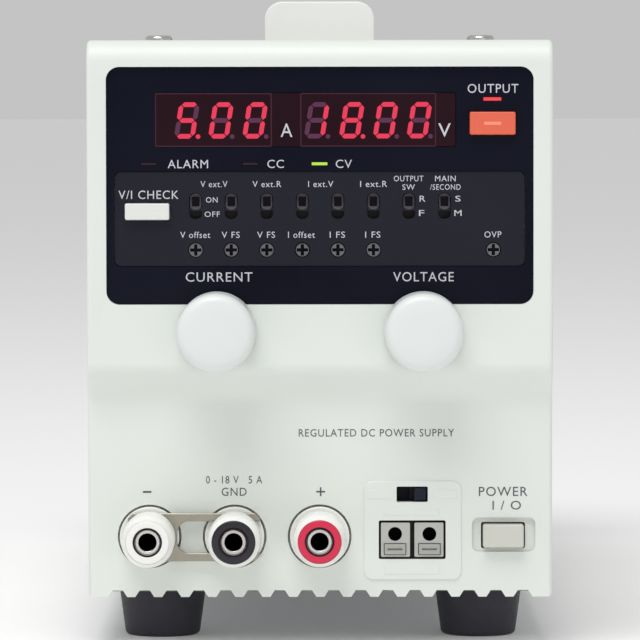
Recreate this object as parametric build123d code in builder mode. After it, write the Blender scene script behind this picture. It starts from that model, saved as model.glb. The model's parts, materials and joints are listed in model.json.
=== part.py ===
from build123d import *
import os

# Bench power supply: a narrow, deep, single-output supply with a carrying strap.
# Millimetres. +Z is up and the front faces -Y. The origin is on the bench, under the
# middle of the whole supply.

# ---- Driving dimensions ----
CASE_W = 104.0
CASE_H = 124.75
CASE_L = 290.0
FOOT_H = 11.2
KNOB_OUT = 15.0  # from the upper front face to the tip of a knob
REAR_OUT = 11.0  # from the rear panel to the tip of the terminal barriers
STEP_BACK = 4.5  # how far the lower front face stands behind the upper one

SIDE = CASE_W / 2
BOTTOM = FOOT_H
TOP = BOTTOM + CASE_H
FRONT = -(KNOB_OUT + CASE_L + REAR_OUT) / 2 + KNOB_OUT
LOWER = FRONT + STEP_BACK
REAR = FRONT + CASE_L

# Front moulding
BEZEL_BACK = FRONT + 22.0
SLOPE_TOP = TOP - 73.6
SLOPE_FOOT = TOP - 79.8
WALL = 2.5
UPPER_INSIDE = FRONT + 4.5
LOWER_INSIDE = LOWER + WALL

# Sheet metal
SHEET = 1.0
TRAY_Z = BOTTOM + 1.0
TRAY_SHEET = 1.2
COVER_SIDE = 51.6
COVER_TOP = TOP - 0.4
COVER_INNER = COVER_SIDE - SHEET
COVER_CEILING = COVER_TOP - SHEET
WALL_FRONT = FRONT + 29.0  # the tray's upright front wall
REAR_INNER = REAR - 1.5

# Dark display panel and what shows in it
PANEL_W, PANEL_H = 95.3, 53.0
PANEL_Z = TOP - 32.45
PANEL_Y = FRONT + 1.0
PANEL_BACK = FRONT + 3.0
CONTROL_W, CONTROL_H = 91.6, 21.3
CONTROL_Z = TOP - 39.85
CONTROL_Y = FRONT + 1.25
WINDOW_W, WINDOW_H = 67.1, 12.2
WINDOW_X, WINDOW_Z = -3.15, TOP - 17.8
BOARD_Y = FRONT + 11.0  # front of the upright display board
KEY_X = 38.5
OUTPUT_KEY_Z = TOP - 18.6
CHECK_KEY_Z = TOP - 38.2
LAMP_Z = TOP - 27.6
LAMP_X = (-38.2, -15.5, -0.05)
OUTPUT_LAMP_Z = TOP - 13.2

# Small controls in the matte strip
PITCH = 7.93
FIRST_X = -27.7
SWITCH_X = [FIRST_X + PITCH * n for n in range(8)]
SWITCH_Z = TOP - 37.0
TRIMMER_X = SWITCH_X[:6] + [38.7]
TRIMMER_Z = TOP - 46.8
SLIDE_TRAVEL = 2.0

# Knobs
KNOB_X = 23.0
KNOB_Z = TOP - 64.7
KNOB_R = 8.75
SPINDLE_R = 3.0

# Output posts, on the usual 19.05 mm pitch
POST_PITCH = 19.05
PLUS_X = -0.15
POST_X = {"minus": PLUS_X - 2 * POST_PITCH, "ground": PLUS_X - POST_PITCH, "plus": PLUS_X}
POST_Z = TOP - 111.1
SOCKET_R = 2.0
STUD_R = 2.7
BOSS_R = 6.65
BOSS_Y = LOWER - 1.5
LINK_T = 1.0
LINK_GAP = 0.1
POST_SEAT = {"minus": LINK_T + 2 * LINK_GAP, "ground": LINK_T + 2 * LINK_GAP, "plus": LINK_GAP}
WASHER_T = 0.8
CAP_R = 5.85
CAP_TIP_R = 4.95
CAP_TAPER = 2.5
CAP_L = 13.6

# Remote sensing terminals
SENSE_X, SENSE_Z = 20.7, TOP - 109.8
SENSE_FACE = LOWER - 0.4
SENSE_MIDDLE = 20.6
SENSE_SWITCH_Z = TOP - 101.7
SENSE_BLOCK_Z = TOP - 111.9
SENSE_SLIDER_X = 22.4
WIRE_X = (SENSE_MIDDLE - 3.85, SENSE_MIDDLE + 3.85)
WIRE_Z = TOP - 110.6
RELEASE_Z = TOP - 114.0

# Power button
POWER_X, POWER_Z = 41.0, TOP - 111.0

# Feet, screws and strap
FOOT_X = 36.2
FOOT_Y = (FRONT + 34.0, REAR - 30.0)
SCREW_R = 1.5
SCREW_HOLE_R = 1.6
COVER_SCREWS = [(x, FRONT + 38.0) for x in (-36.9, 36.9)]
REAR_SCREWS = [(x, z) for x in (-40.0, 40.0) for z in (18.5, TOP - 6.0)]
HEAD_R, HEAD_H, SHANK_L = 3.1, 1.75, 8.0
STRAP_END_L = 26.0
STRAP_END_Y = (FRONT + 26.0, REAR - 50.0 - STRAP_END_L)
STRAP_END_W, STRAP_END_H = 24.9, 9.3
STRAP_SCREWS = [(0.0, STRAP_END_Y[0] + 6.0), (0.0, STRAP_END_Y[1] + STRAP_END_L - 6.0)]

# Rear panel
FAN_X, FAN_Z, FAN_SIZE = 17.0, 95.0, 60.0
FAN_Y = REAR_INNER - 25.5
INLET_X, INLET_Z = 32.0, 36.0
BARRIER_X, BARRIER_Z = -20.0, 34.0
CONTROL_BLOCK_X, CONTROL_BLOCK_Z = -34.0, 88.0
TERMINAL_PITCH = 11.0
CONTROL_PITCH = 5.08


# ---- Helpers: each adds to, or cuts from, the part being built ----
def facing(y):
    """The upright plane at depth y, seen from the front: sketch x is X and sketch y is Z."""
    return Plane.XZ.offset(-y)


def bar(x0, x1, y0, y1, z0, z1, mode=Mode.ADD):
    """A square block between two opposite corners."""
    with Locations(((x0 + x1) / 2, (y0 + y1) / 2, (z0 + z1) / 2)):
        Box(x1 - x0, y1 - y0, z1 - z0, mode=mode)


def plate(width, height, places, y0, y1, radius=0.0, mode=Mode.ADD):
    """Upright rectangles centred on (x, z) places, from depth y0 back to y1."""
    with BuildSketch(facing(y1)) as outline:
        with Locations(*places):
            if radius:
                RectangleRounded(width, height, radius)
            else:
                Rectangle(width, height)
    extrude(outline.sketch, amount=y1 - y0, mode=mode)


def rod(radius, places, y0, y1, mode=Mode.ADD):
    """Round rods lying front to back, centred on (x, z) places."""
    with BuildSketch(facing(y1)) as outline:
        with Locations(*places):
            Circle(radius)
    extrude(outline.sketch, amount=y1 - y0, mode=mode)


def nut(flats, places, y0, y1):
    """Hexagon nuts lying front to back."""
    with BuildSketch(facing(y1)) as outline:
        with Locations(*places):
            RegularPolygon(flats / 2, 6, major_radius=False)
    extrude(outline.sketch, amount=y1 - y0)


def post(radius, places, z0, z1, mode=Mode.ADD):
    """Upright round posts centred on (x, y) places, from height z0 to z1."""
    with BuildSketch(Plane.XY.offset(z0)) as outline:
        with Locations(*places):
            Circle(radius)
    extrude(outline.sketch, amount=z1 - z0, mode=mode)


def edges_facing(part, y):
    """The edges that lie wholly at depth y."""
    return [e for e in part.edges() if max(abs(v.Y - y) for v in e.vertices()) < 0.01]


def save(built, name):
    """Label one finished sub-part and write it as its own file."""
    built.part.label = name
    export_step(built.part, f"parts/{name}.step")


os.makedirs("parts", exist_ok=True)
post_places = [(x, POST_Z) for x in POST_X.values()]
knob_places = [(-KNOB_X, KNOB_Z), (KNOB_X, KNOB_Z)]
switch_places = [(x, SWITCH_Z) for x in SWITCH_X]
trimmer_places = [(x, TRIMMER_Z) for x in TRIMMER_X]
wire_places = [(x, WIRE_Z) for x in WIRE_X]
release_places = [(x, RELEASE_Z) for x in WIRE_X]
lamp_places = [(x, LAMP_Z) for x in LAMP_X]

# ---- Front moulding ----
TOP_EDGE_R = 5.0
SLOPE_R = 5.0
OUTLINE_R = 1.0
COMB_PITCH, COMB_DEPTH = 6.06, 1.5
COMB_GAP_FOOT, COMB_GAP_TOP = 4.25, 2.3

with BuildPart() as front_bezel:
    with BuildSketch(Plane.YZ) as side_view:
        with BuildLine():
            Polyline(
                (FRONT + TOP_EDGE_R, TOP),
                (BEZEL_BACK, TOP),
                (BEZEL_BACK, BOTTOM),
                (LOWER, BOTTOM),
                (LOWER, SLOPE_FOOT),
                (FRONT, SLOPE_TOP),
                (FRONT, TOP - TOP_EDGE_R),
            )
            RadiusArc((FRONT, TOP - TOP_EDGE_R), (FRONT + TOP_EDGE_R, TOP), TOP_EDGE_R)
        make_face()
    extrude(amount=SIDE, both=True)
    slope_edges = [
        e
        for e in front_bezel.edges().filter_by(Axis.X)
        if SLOPE_FOOT - 0.1 < e.center().Z < SLOPE_TOP + 0.1
    ]
    fillet(slope_edges, SLOPE_R)
    side_edges = [
        e
        for e in front_bezel.edges()
        if abs(abs(e.center().X) - SIDE) < 0.01 and e.center().Y < BEZEL_BACK - 0.1
    ]
    fillet(side_edges, OUTLINE_R)
    # The hollow behind, which follows the step in the front wall
    with BuildSketch(Plane.YZ) as hollow_view:
        with BuildLine():
            Polyline(
                (BEZEL_BACK, TOP - 3.0),
                (BEZEL_BACK, BOTTOM + WALL),
                (LOWER_INSIDE, BOTTOM + WALL),
                (LOWER_INSIDE, SLOPE_FOOT),
                (UPPER_INSIDE, SLOPE_TOP + 1.0),
                (UPPER_INSIDE, TOP - 3.0),
                close=True,
            )
        make_face()
    extrude(amount=SIDE - WALL, both=True, mode=Mode.SUBTRACT)
    # Raised pad round the sensing terminals
    plate(21.9, 22.2, [(SENSE_X, SENSE_Z)], SENSE_FACE, LOWER + 0.5, 2.0)
    fillet(edges_facing(front_bezel, SENSE_FACE), 0.3)
    # Rebate and opening for the dark panel
    plate(PANEL_W, PANEL_H, [(0, PANEL_Z)], FRONT, PANEL_BACK, 3.0, Mode.SUBTRACT)
    plate(PANEL_W - 4, PANEL_H - 4, [(0, PANEL_Z)], FRONT, UPPER_INSIDE + 1, 1.5, Mode.SUBTRACT)
    rod(4.6, knob_places, FRONT - 1, UPPER_INSIDE + 1, Mode.SUBTRACT)
    rod(BOSS_R + 0.5, post_places, LOWER - 1, LOWER_INSIDE + 1, Mode.SUBTRACT)
    inner = LOWER_INSIDE + 1
    plate(7.0, 3.5, [(SENSE_MIDDLE, SENSE_SWITCH_Z)], SENSE_FACE - 1, inner, 0.3, Mode.SUBTRACT)
    plate(15.0, 8.7, [(SENSE_MIDDLE, SENSE_BLOCK_Z)], SENSE_FACE - 1, inner, 0.4, Mode.SUBTRACT)
    # Finger dish and opening for the power button
    plate(14.2, 7.7, [(POWER_X + 0.1, POWER_Z + 0.2)], LOWER - 1, LOWER + 1.0, 1.5, Mode.SUBTRACT)
    plate(9.9, 5.9, [(POWER_X, POWER_Z)], LOWER - 1, LOWER_INSIDE + 1, 0.5, Mode.SUBTRACT)
    # Air comb under the lower edge
    with BuildSketch(facing(LOWER + 14.0)) as comb:
        with Locations((0, BOTTOM)):
            with GridLocations(COMB_PITCH, 0, 16, 1):
                Polygon(
                    (-COMB_GAP_FOOT / 2, 0),
                    (COMB_GAP_FOOT / 2, 0),
                    (COMB_GAP_TOP / 2, COMB_DEPTH),
                    (-COMB_GAP_TOP / 2, COMB_DEPTH),
                    align=None,
                )
    extrude(amount=15.0, mode=Mode.SUBTRACT)
save(front_bezel, "front_bezel")

# ---- Dark panel, matte control strip and red window ----
with BuildPart() as display_panel:
    plate(PANEL_W - 0.2, PANEL_H - 0.2, [(0, PANEL_Z)], PANEL_Y, PANEL_BACK, 2.9)
    plate(CONTROL_W, CONTROL_H, [(0, CONTROL_Z)], FRONT, FRONT + 5, 1.5, Mode.SUBTRACT)
    plate(WINDOW_W, WINDOW_H, [(WINDOW_X, WINDOW_Z)], FRONT, FRONT + 5, 0.4, Mode.SUBTRACT)
    plate(3.7, 0.8, lamp_places, FRONT, FRONT + 5, 0, Mode.SUBTRACT)
    plate(4.1, 0.95, [(KEY_X, OUTPUT_LAMP_Z)], FRONT, FRONT + 5, 0, Mode.SUBTRACT)
    plate(10.6, 5.5, [(KEY_X, OUTPUT_KEY_Z)], FRONT, FRONT + 5, 0.5, Mode.SUBTRACT)
save(display_panel, "display_panel")

with BuildPart() as control_plate:
    plate(CONTROL_W - 0.2, CONTROL_H - 0.2, [(0, CONTROL_Z)], CONTROL_Y, PANEL_BACK, 1.4)
    plate(2.9, 5.8, switch_places, FRONT, FRONT + 5, 1.3, Mode.SUBTRACT)
    rod(1.7, trimmer_places, FRONT, FRONT + 5, Mode.SUBTRACT)
    plate(10.3, 4.1, [(-KEY_X, CHECK_KEY_Z)], FRONT, FRONT + 5, 0.4, Mode.SUBTRACT)
save(control_plate, "control_plate")

with BuildPart() as display_filter:
    window = [(WINDOW_X, WINDOW_Z)]
    plate(WINDOW_W - 0.2, WINDOW_H - 0.2, window, PANEL_Y + 0.1, PANEL_BACK, 0.3)
save(display_filter, "display_filter")

# ---- Behind the panel: digits, lamps, boards, switch and trimmer bodies ----
CURRENT_DIGITS = (25.9, -23.75)  # width and middle of the three-digit module
VOLTAGE_DIGITS = (30.0, 10.8)
DIGIT_H = 11.8

with BuildPart() as digit_modules:
    for width, middle in (CURRENT_DIGITS, VOLTAGE_DIGITS):
        plate(width, DIGIT_H, [(middle, WINDOW_Z)], PANEL_BACK + 0.1, BOARD_Y, 0.3)
save(digit_modules, "digit_modules")

with BuildPart() as indicator_lamps:
    plate(3.5, 0.6, lamp_places, PANEL_Y + 0.1, BOARD_Y)
    plate(3.9, 0.75, [(KEY_X, OUTPUT_LAMP_Z)], PANEL_Y + 0.1, BOARD_Y)
save(indicator_lamps, "indicator_lamps")

with BuildPart() as circuit_boards:
    bar(-46.5, 46.5, BOARD_Y, BOARD_Y + 1.6, TOP - 51.5, TOP - 8.0)
    bar(-47.0, 47.0, -20.0, FAN_Y - 2, 20.0, 21.6)
save(circuit_boards, "circuit_boards")

SLIDER_Y = FRONT + 3.9
with BuildPart() as panel_components:
    # Eight slide-switch bodies, hollow where the slider runs
    plate(5.6, 10.0, switch_places, PANEL_BACK + 0.1, BOARD_Y, 0.3)
    plate(2.7, 6.1, switch_places, PANEL_BACK, FRONT + 5, 0, Mode.SUBTRACT)
    plate(4.0, 7.4, switch_places, SLIDER_Y, FRONT + 6.1, 0, Mode.SUBTRACT)
    # Seven trimmer bodies
    plate(5.4, 5.4, trimmer_places, PANEL_BACK + 0.3, BOARD_Y, 0.3)
    rod(1.6, trimmer_places, PANEL_BACK, FRONT + 6.2, Mode.SUBTRACT)
    # Two push-switch bodies for the keys
    plate(6.0, 6.0, [(KEY_X, OUTPUT_KEY_Z), (-KEY_X, CHECK_KEY_Z)], FRONT + 7.3, BOARD_Y, 0.3)
    # Sensing switch body, hollow where its slider runs
    sense_switch = [(SENSE_MIDDLE, SENSE_SWITCH_Z)]
    plate(12.0, 6.0, sense_switch, LOWER_INSIDE + 0.1, LOWER + 9.0, 0.3)
    plate(7.0, 3.5, sense_switch, LOWER_INSIDE, LOWER + 4.0, 0, Mode.SUBTRACT)
    plate(9.4, 4.0, sense_switch, LOWER + 3.6, LOWER + 6.0, 0, Mode.SUBTRACT)
save(panel_components, "panel_components")

# ---- Keys, sliders and trimmer screws in the panel ----
KEY_FACE = FRONT - 0.4
keys = {
    "output_key": (10.2, 5.1, KEY_X, OUTPUT_KEY_Z),
    "check_key": (9.9, 3.7, -KEY_X, CHECK_KEY_Z),
}
for name, (width, height, x, z) in keys.items():
    with BuildPart() as key:
        # Cap, retaining flange and plunger; 1.1 mm stays free in front of the switch
        plate(width, height, [(x, z)], KEY_FACE, FRONT + 4.4, 0.4)
        fillet(edges_facing(key, KEY_FACE), 0.3)
        plate(width + 1.6, height + 1.6, [(x, z)], FRONT + 3.2, FRONT + 4.4, 0.4)
        rod(1.6, [(x, z)], FRONT + 4.4, FRONT + 6.2)
    save(key, name)

for number, x in enumerate(SWITCH_X, 1):
    with BuildPart() as mode_slider:
        # Actuator, the carriage plate round it and the sliding block inside the switch
        place = [(x, SWITCH_Z + SLIDE_TRAVEL / 2)]
        plate(1.65, 2.1, place, FRONT + 1.5, FRONT + 2.3)
        plate(2.5, 3.6, place, FRONT + 2.2, SLIDER_Y + 0.2, 1.1)
        plate(3.4, 4.2, place, SLIDER_Y + 0.15, FRONT + 5.9)
    save(mode_slider, f"mode_slider_{number}")

for number, x in enumerate(TRIMMER_X, 1):
    with BuildPart() as trimmer:
        rod(1.5, [(x, TRIMMER_Z)], FRONT + 1.5, FRONT + 6.0)
        plate(2.5, 0.7, [(x, TRIMMER_Z)], FRONT + 1, FRONT + 2.1, 0, Mode.SUBTRACT)
        plate(0.7, 2.5, [(x, TRIMMER_Z)], FRONT + 1, FRONT + 2.1, 0, Mode.SUBTRACT)
    save(trimmer, f"trimmer_{number}")

# ---- Ten-turn controls and their knobs ----
with BuildPart() as ten_turn_pots:
    rod(4.5, knob_places, FRONT - 4.0, FRONT + 8.0)
    rod(11.0, knob_places, FRONT + 8.0, FRONT + 28.0)
    rod(SPINDLE_R + 0.1, knob_places, FRONT - 5.0, FRONT + 12.5, Mode.SUBTRACT)
save(ten_turn_pots, "ten_turn_pots")

for name, x in (("current", -KNOB_X), ("voltage", KNOB_X)):
    with BuildPart() as knob:
        rod(KNOB_R, [(x, KNOB_Z)], FRONT - KNOB_OUT, FRONT - 0.6)
        fillet(edges_facing(knob, FRONT - KNOB_OUT), 2.0)
        rod(7.8, [(x, KNOB_Z)], FRONT - 5.0, FRONT, Mode.SUBTRACT)
        rod(SPINDLE_R, [(x, KNOB_Z)], FRONT - 5.0, FRONT + 12.0)
    save(knob, f"knob_{name}")

# ---- Output posts ----
with BuildPart() as post_bases:
    rod(BOSS_R, post_places, BOSS_Y, LOWER_INSIDE + 0.1)
    rod(8.5, post_places, LOWER_INSIDE + 0.1, LOWER + 6.0)
    rod(STUD_R + 0.05, post_places, BOSS_Y - 1, LOWER + 7.0, Mode.SUBTRACT)
save(post_bases, "post_bases")

with BuildPart() as post_studs:
    for name, x in POST_X.items():
        tip = BOSS_Y - POST_SEAT[name] - WASHER_T - CAP_L + 1.1
        rod(STUD_R, [(x, POST_Z)], tip, LOWER + 18.0)
        rod(SOCKET_R, [(x, POST_Z)], tip - 1, tip + 22.0, Mode.SUBTRACT)
save(post_studs, "post_studs")

with BuildPart() as panel_nuts:
    nut(9.0, post_places, LOWER + 6.0, LOWER + 9.0)
    rod(STUD_R + 0.05, post_places, LOWER + 5.0, LOWER + 10.0, Mode.SUBTRACT)
    nut(12.0, knob_places, FRONT - 2.5, FRONT)
    rod(4.55, knob_places, FRONT - 3.0, FRONT + 1.0, Mode.SUBTRACT)
save(panel_nuts, "panel_nuts")

# Flat link from the minus post to the ground post, forked at the ground end
LINK_LEFT, LINK_RIGHT, LINK_H = -43.05, -13.45, 10.8
FORK_LEFT, FORK_H = -32.05, 7.1
with BuildPart() as shorting_link:
    link_back = BOSS_Y - LINK_GAP
    with BuildSketch(facing(link_back)) as link_outline:
        with Locations(((LINK_LEFT + LINK_RIGHT) / 2, POST_Z)):
            Rectangle(LINK_RIGHT - LINK_LEFT, LINK_H)
        chamfer(link_outline.vertices(), 1.2)
        with Locations((POST_X["minus"], POST_Z)):
            Circle(STUD_R + 0.3, mode=Mode.SUBTRACT)
        with Locations(((FORK_LEFT + LINK_RIGHT + 5) / 2, POST_Z)):
            RectangleRounded(LINK_RIGHT + 5 - FORK_LEFT, FORK_H, 2.7, mode=Mode.SUBTRACT)
    extrude(amount=LINK_T)
save(shorting_link, "shorting_link")

for name, x in POST_X.items():
    washer_back = BOSS_Y - POST_SEAT[name]
    cap_back = washer_back - WASHER_T - 0.05
    with BuildPart() as post_washer:
        rod(5.4, [(x, POST_Z)], washer_back - WASHER_T, washer_back)
        rod(STUD_R + 0.1, [(x, POST_Z)], washer_back - 2, washer_back + 1, Mode.SUBTRACT)
    save(post_washer, f"washer_{name}")
    with BuildPart() as post_cap:
        tip = cap_back - CAP_L
        rod(CAP_R, [(x, POST_Z)], tip + CAP_TAPER, cap_back)
        with Locations(Location((x, tip + CAP_TAPER / 2, POST_Z), (90, 0, 0))):
            Cone(CAP_R, CAP_TIP_R, CAP_TAPER)
        fillet(edges_facing(post_cap, tip), 0.3)
        rod(STUD_R + 0.1, [(x, POST_Z)], tip - 1, cap_back + 1, Mode.SUBTRACT)
        rod(3.25, [(x, POST_Z)], tip - 1, tip + 1.2, Mode.SUBTRACT)
    save(post_cap, f"cap_{name}")

# ---- Sensing terminals ----
with BuildPart() as sense_terminals:
    # Two faces stand forward of the block, with a groove between and a step round them
    plate(14.8, 8.5, [(SENSE_MIDDLE, SENSE_BLOCK_Z)], SENSE_FACE + 0.8, LOWER + 13.0, 0.3)
    faces = [(SENSE_MIDDLE - 3.75, SENSE_BLOCK_Z), (SENSE_MIDDLE + 3.75, SENSE_BLOCK_Z)]
    plate(6.5, 7.7, faces, SENSE_FACE, SENSE_FACE + 0.9, 0.3)
    rod(1.55, wire_places, SENSE_FACE - 1, LOWER + 9.0, Mode.SUBTRACT)
    plate(5.0, 2.6, release_places, SENSE_FACE - 1, LOWER + 8.0, 0, Mode.SUBTRACT)
save(sense_terminals, "sense_terminals")

for side, x in zip(("left", "right"), WIRE_X):
    with BuildPart() as release:
        plate(4.7, 2.3, [(x, RELEASE_Z)], SENSE_FACE - 0.6, LOWER + 4.0)
        plate(3.3, 0.45, [(x, RELEASE_Z)], SENSE_FACE - 1, SENSE_FACE, 0, Mode.SUBTRACT)
    save(release, f"sense_release_{side}")

with BuildPart() as sense_slider:
    plate(2.7, 2.9, [(SENSE_SLIDER_X, SENSE_SWITCH_Z)], LOWER + 0.2, LOWER + 4.0)
    plate(4.8, 3.6, [(SENSE_SLIDER_X, SENSE_SWITCH_Z)], LOWER + 3.8, LOWER + 5.8)
save(sense_slider, "sense_slider")

# ---- Power switch ----
with BuildPart() as power_button:
    plate(9.1, 5.2, [(POWER_X, POWER_Z)], LOWER - 2.5, LOWER + 7.5, 0.5)
    fillet(edges_facing(power_button, LOWER - 2.5), 0.45)
    plate(11.5, 7.5, [(POWER_X, POWER_Z)], LOWER + 6.2, LOWER + 7.5, 0.3)
    rod(2.0, [(POWER_X, POWER_Z)], LOWER + 7.5, LOWER + 8.2)
save(power_button, "power_button")

with BuildPart() as power_switch:
    plate(13.0, 12.0, [(POWER_X, POWER_Z)], LOWER + 9.0, LOWER + 20.0, 0.5)
    tabs = [(POWER_X - 3.5, POWER_Z), (POWER_X + 3.5, POWER_Z)]
    plate(0.8, 5.0, tabs, LOWER + 20.0, LOWER + 24.0)
save(power_switch, "power_switch")

# ---- Sheet-metal case ----
TRAY_FLOOR = TRAY_Z + TRAY_SHEET
TRAY_SIDE = 49.9
with BuildPart() as chassis_tray:
    bar(-TRAY_SIDE, TRAY_SIDE, BEZEL_BACK + 0.2, REAR_INNER - 0.1, TRAY_Z, TRAY_FLOOR)
    for x in (-TRAY_SIDE, TRAY_SIDE - TRAY_SHEET):
        bar(x, x + TRAY_SHEET, BEZEL_BACK + 0.2, REAR_INNER - 0.1, TRAY_FLOOR, TRAY_Z + 16.0)
    bar(-48.6, 48.6, WALL_FRONT, WALL_FRONT + 1.2, TRAY_FLOOR, COVER_CEILING)
    bar(-48.6, 48.6, WALL_FRONT + 1.2, WALL_FRONT + 17.0, COVER_CEILING - 1.2, COVER_CEILING)
    # Flange that the lower screws of the rear panel hold
    bar(-48.6, 48.6, REAR_INNER - 1.3, REAR_INNER - 0.1, TRAY_FLOOR, TRAY_Z + 11.5)
    rod(SCREW_HOLE_R, REAR_SCREWS[0::2], REAR_INNER - 2, REAR_INNER, Mode.SUBTRACT)
    # Wiring window behind the switches and posts
    plate(84.0, 26.0, [(0, 46.0)], WALL_FRONT - 1, WALL_FRONT + 2, 3.0, Mode.SUBTRACT)
    flange_holes = COVER_SCREWS + STRAP_SCREWS[:1]
    post(SCREW_HOLE_R, flange_holes, COVER_CEILING - 5, COVER_CEILING + 1, Mode.SUBTRACT)
    foot_places = [(x, y) for x in (-FOOT_X, FOOT_X) for y in FOOT_Y]
    post(SCREW_HOLE_R, foot_places, TRAY_Z - 1, TRAY_FLOOR + 1, Mode.SUBTRACT)
save(chassis_tray, "chassis_tray")

VENT_L, VENT_W, VENT_PITCH, VENTS = 26.0, 3.0, 7.0, 10
with BuildPart() as top_cover:
    bar(-COVER_SIDE, COVER_SIDE, BEZEL_BACK + 0.1, REAR, TRAY_Z, COVER_TOP)
    top_edges = [e for e in top_cover.edges().filter_by(Axis.Y) if e.center().Z > COVER_TOP - 0.1]
    fillet(top_edges, 1.5)
    bar(-COVER_INNER, COVER_INNER, BEZEL_BACK, REAR + 1, TRAY_Z - 1, COVER_CEILING, Mode.SUBTRACT)
    # Tabs folded down inside the rear panel for its upper screws
    for x in (-40.0, 40.0):
        bar(x - 5, x + 5, REAR_INNER - 1.3, REAR_INNER - 0.1, TOP - 10.0, COVER_CEILING + 0.2)
    rod(SCREW_HOLE_R, REAR_SCREWS[1::2], REAR_INNER - 2, REAR_INNER, Mode.SUBTRACT)
    # Two rows of air slots through both sides
    with BuildSketch(Plane.YZ) as vents:
        with Locations((-70.0, 45.0), (70.0, 45.0), (70.0, 95.0)):
            with GridLocations(VENT_PITCH, 0, VENTS, 1):
                SlotOverall(VENT_L, VENT_W, rotation=90)
    extrude(amount=SIDE + 1, both=True, mode=Mode.SUBTRACT)
    post(SCREW_HOLE_R, COVER_SCREWS + STRAP_SCREWS, COVER_TOP - 5, COVER_TOP + 1, Mode.SUBTRACT)
save(top_cover, "top_cover")

FAN_R = 27.0
with BuildPart() as rear_panel:
    bar(-50.4, 50.4, REAR_INNER, REAR, TRAY_FLOOR + 0.2, COVER_CEILING)
    rod(SCREW_HOLE_R, REAR_SCREWS, REAR_INNER - 1, REAR + 1, Mode.SUBTRACT)
    # Fan grille: level slots cut to a circle
    with BuildSketch(facing(REAR + 1)) as grille:
        for row in range(-5, 6):
            height = row * 4.8
            half = (FAN_R**2 - height**2) ** 0.5
            with Locations((FAN_X, FAN_Z + height)):
                SlotOverall(2 * half - 2.0, 3.0)
    extrude(amount=4.0, mode=Mode.SUBTRACT)
    plate(27.4, 20.0, [(INLET_X, INLET_Z)], REAR_INNER - 1, REAR + 1, 1.0, Mode.SUBTRACT)
    for row in range(5):
        middle = BARRIER_X + (row - 2) * TERMINAL_PITCH
        rod(2.2, [(middle, BARRIER_Z)], REAR_INNER - 1, REAR + 1, Mode.SUBTRACT)
save(rear_panel, "rear_panel")

# ---- Inside the case ----
LEG, CORE_W, CORE_H, STACK = 22.0, 66.0, 56.0, 40.0
CORE_Y, CORE_Z = -75.0, TRAY_FLOOR + 0.1
WINDOW_OUT = 27.5
with BuildPart() as transformer_core:
    bar(-CORE_W / 2, CORE_W / 2, CORE_Y - STACK / 2, CORE_Y + STACK / 2, CORE_Z, CORE_Z + CORE_H)
    for x in (-WINDOW_OUT, LEG / 2):
        bar(
            x,
            x + WINDOW_OUT - LEG / 2,
            CORE_Y - STACK,
            CORE_Y + STACK,
            CORE_Z + 11.0,
            CORE_Z + CORE_H - 11.0,
            Mode.SUBTRACT,
        )
save(transformer_core, "transformer_core")

with BuildPart() as transformer_coil:
    reach = STACK / 2 + 12.0
    coil_z0, coil_z1 = CORE_Z + 11.2, CORE_Z + CORE_H - 11.2
    bar(-WINDOW_OUT + 0.3, WINDOW_OUT - 0.3, CORE_Y - reach, CORE_Y + reach, coil_z0, coil_z1)
    fillet(transformer_coil.edges().filter_by(Axis.Z), 6.0)
    hole_x, hole_y = LEG / 2 + 0.2, STACK / 2 + 0.2
    bar(-hole_x, hole_x, CORE_Y - hole_y, CORE_Y + hole_y, 0, COVER_TOP, Mode.SUBTRACT)
save(transformer_coil, "transformer_coil")

SINK_X, SINK_Y0, SINK_Y1, SINK_Z0, SINK_Z1 = 14.0, 8.0, 108.0, 62.0, 126.0
with BuildPart() as heat_sink:
    bar(SINK_X, SINK_X + 4, SINK_Y0, SINK_Y1, SINK_Z0, SINK_Z1)
    for fin in range(10):
        fin_z = SINK_Z0 + fin * (SINK_Z1 - SINK_Z0 - 1.6) / 9
        bar(SINK_X + 4, 46.0, SINK_Y0, SINK_Y1, fin_z, fin_z + 1.6)
save(heat_sink, "heat_sink")

with BuildPart() as power_components:
    board_top = 21.6
    post(14.0, [(-28.0, 8.0), (-28.0, 42.0)], board_top, board_top + 46.0)
    post(6.5, [(-36.0, 70.0), (-20.0, 70.0), (-36.0, 88.0)], board_top, board_top + 20.0)
    bar(0.0, 28.0, 30.0, 60.0, board_top, board_top + 8.0)
    for y in (26.0, 58.0, 90.0):
        bar(SINK_X - 5, SINK_X, y - 8, y + 8, 84.0, 104.0)
save(power_components, "power_components")

# ---- Fan ----
HUB_R, BLADE_TIP_R, BLADES = 11.0, 27.3, 7
with BuildPart() as fan_frame:
    plate(FAN_SIZE, FAN_SIZE, [(FAN_X, FAN_Z)], FAN_Y, REAR_INNER - 0.1, 3.0)
    rod(28.6, [(FAN_X, FAN_Z)], FAN_Y - 1, REAR, Mode.SUBTRACT)
    corner = 25.0
    corners = [(FAN_X + x, FAN_Z + z) for x in (-corner, corner) for z in (-corner, corner)]
    rod(2.2, corners, FAN_Y - 1, REAR, Mode.SUBTRACT)
    rod(HUB_R, [(FAN_X, FAN_Z)], REAR_INNER - 4.0, REAR_INNER - 0.5)
    for angle in (30, 150, 270):
        with Locations(Location((FAN_X, REAR_INNER - 2.2, FAN_Z), (0, angle, 0))):
            with Locations((19.6, 0, 0)):
                Box(19.0, 3.0, 3.0)
save(fan_frame, "fan_frame")

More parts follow.
